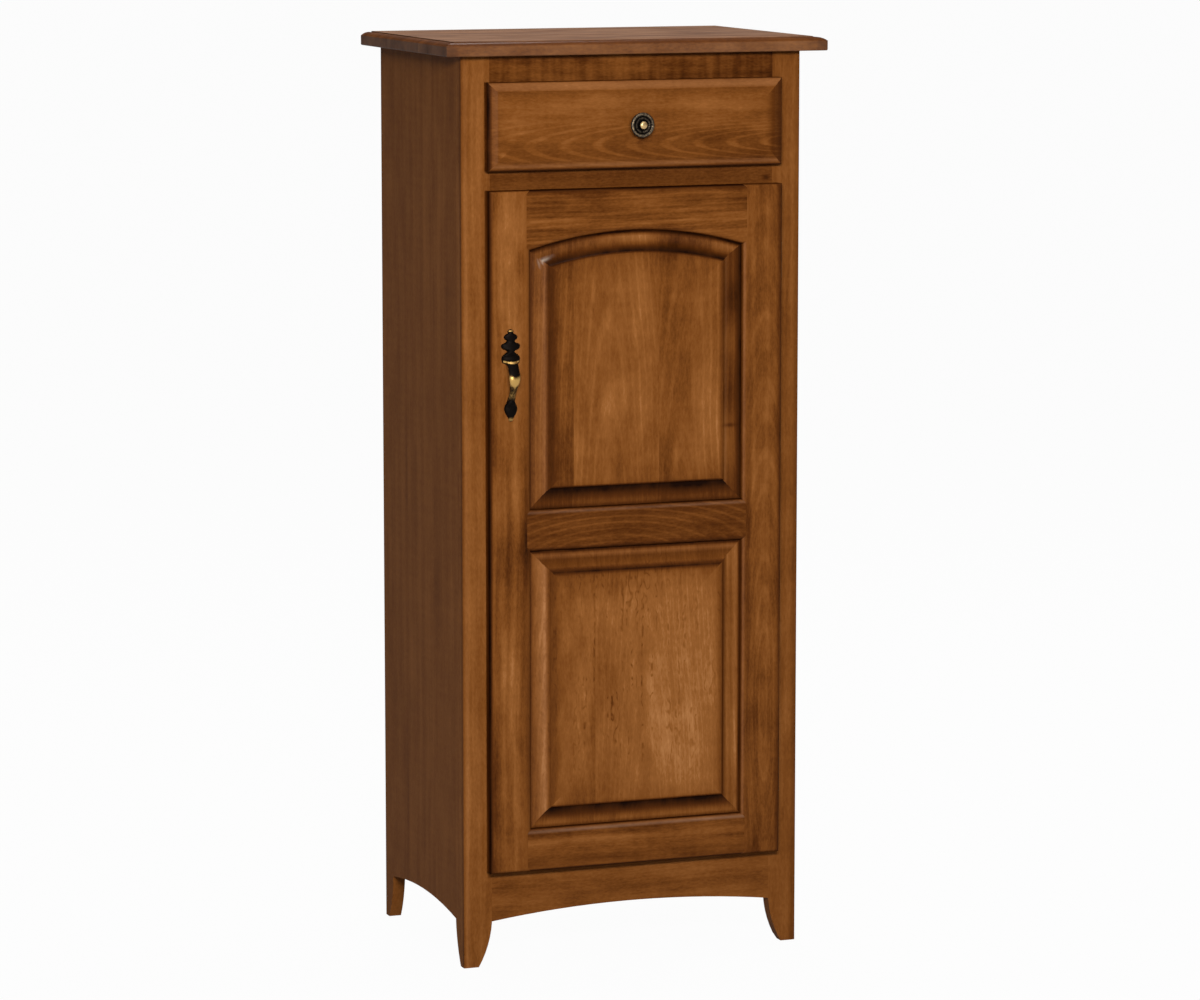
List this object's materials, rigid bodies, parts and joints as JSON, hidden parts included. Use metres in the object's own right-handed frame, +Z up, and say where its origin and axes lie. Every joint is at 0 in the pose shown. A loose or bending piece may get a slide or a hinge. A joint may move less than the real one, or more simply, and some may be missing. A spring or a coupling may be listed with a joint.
{
  "type": "jelly cupboard",
  "caption": "Tall narrow wooden jelly cupboard with a drawer over an arched raised-panel door, shelves inside, a moulded top and bracket feet with arched aprons.",
  "frame": {"origin": "on the floor, under the middle of the object's box", "axes": "+Z up, +Y to the back, +X to the right as seen from the front"},
  "size_m": [0.568, 0.407, 1.311],
  "materials": {
    "stained_maple": "satin lacquer over brown stain",
    "inside_maple": "satin lacquer over brown stain",
    "drawer_maple": "clear satin lacquer",
    "antique_brass": "darkened, rubbed bright on the high spots",
    "hinge_brass": "darkened",
    "zinc_steel": "zinc plated",
    "catch_plastic": "moulded",
    "bumper_rubber": "matt"
  },
  "bodies": {
    "carcass": {"top_board": "stained_maple", "side_panel_left": "stained_maple", "side_panel_right": "stained_maple", "face_stile_left": "stained_maple", "face_stile_right": "stained_maple", "face_rail_top": "stained_maple", "face_rail_middle": "stained_maple", "apron": "stained_maple", "cabinet_floor": "inside_maple", "divider_panel": "inside_maple", "back_panel": "inside_maple", "back_rail": "inside_maple", "top_cleat_left": "inside_maple", "top_cleat_right": "inside_maple", "top_screws": "zinc_steel", "slide_cleat_left": "inside_maple", "slide_cleat_right": "inside_maple", "slide_cabinet_left": "zinc_steel", "slide_cabinet_right": "zinc_steel", "shelf_lower": "inside_maple", "shelf_middle": "inside_maple", "shelf_upper": "inside_maple", "shelf_cleats": "inside_maple", "hinge_frame_leaf_upper": "hinge_brass", "hinge_frame_leaf_lower": "hinge_brass", "hinge_pin_upper": "hinge_brass", "hinge_pin_lower": "hinge_brass", "hinge_frame_screws": "zinc_steel", "catch_body": "catch_plastic"},
    "drawer": {"drawer_front": "stained_maple", "drawer_box_front": "drawer_maple", "drawer_side_left": "drawer_maple", "drawer_side_right": "drawer_maple", "drawer_back": "drawer_maple", "drawer_bottom": "drawer_maple", "drawer_knob": "antique_brass", "knob_screw": "zinc_steel", "drawer_front_screws": "zinc_steel", "slide_drawer_left": "zinc_steel", "slide_drawer_right": "zinc_steel", "drawer_bumpers": "bumper_rubber"},
    "slide_members": {"slide_middle_left": "zinc_steel", "slide_middle_right": "zinc_steel"},
    "door": {"door_stile_left": "stained_maple", "door_stile_right": "stained_maple", "door_rail_top": "stained_maple", "door_rail_lock": "stained_maple", "door_rail_bottom": "stained_maple", "door_panel_upper": "stained_maple", "door_panel_lower": "stained_maple", "door_pull": "antique_brass", "pull_screws": "zinc_steel", "hinge_door_leaf_upper": "hinge_brass", "hinge_door_leaf_lower": "hinge_brass", "hinge_door_screws": "zinc_steel", "catch_strike": "zinc_steel", "door_bumpers": "bumper_rubber"}
  },
  "joints": [
    {"name": "door_hinge", "type": "hinge", "parent": "carcass", "child": "door", "pos_m": [0.2233, -0.1597, 0.6195], "axis": [0, 0, 1], "range_deg": [0, 105]},
    {"name": "drawer_slide", "type": "slide", "parent": "carcass", "child": "drawer", "axis": [0, -1, 0], "range_m": [0, 0.28]},
    {"name": "slide_follow", "type": "slide", "parent": "carcass", "child": "slide_members", "axis": [0, -1, 0], "range_m": [0, 0.14]}
  ],
  "couplings": [
    {"joint": "slide_follow", "follows": "drawer_slide", "ratio": 0.5}
  ]
}
